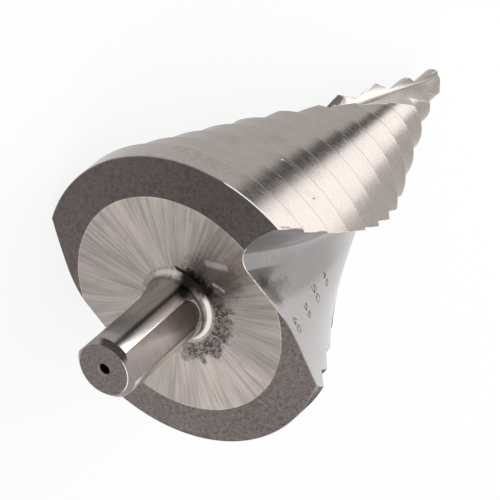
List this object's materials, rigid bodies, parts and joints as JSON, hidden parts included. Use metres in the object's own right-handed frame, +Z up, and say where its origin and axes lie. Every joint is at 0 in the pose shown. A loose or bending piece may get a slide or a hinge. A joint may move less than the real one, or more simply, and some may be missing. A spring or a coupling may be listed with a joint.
{
  "type": "step drill",
  "caption": "Cone-shaped step drill with spiral flutes, stepped cutting lands and a flatted shank, for boring and widening holes in sheet metal.",
  "frame": {"origin": "middle of the bounding box's footprint, on the floor that the drill lies on", "axes": "+Z up from the floor; +X along the drill as seen from above, from shank to tip"},
  "size_m": [0.1122, 0.0584, 0.0551],
  "materials": {
    "ground_steel": "bright ground steel"
  },
  "bodies": {
    "root": {"step_drill": "ground_steel"}
  },
  "joints": []
}
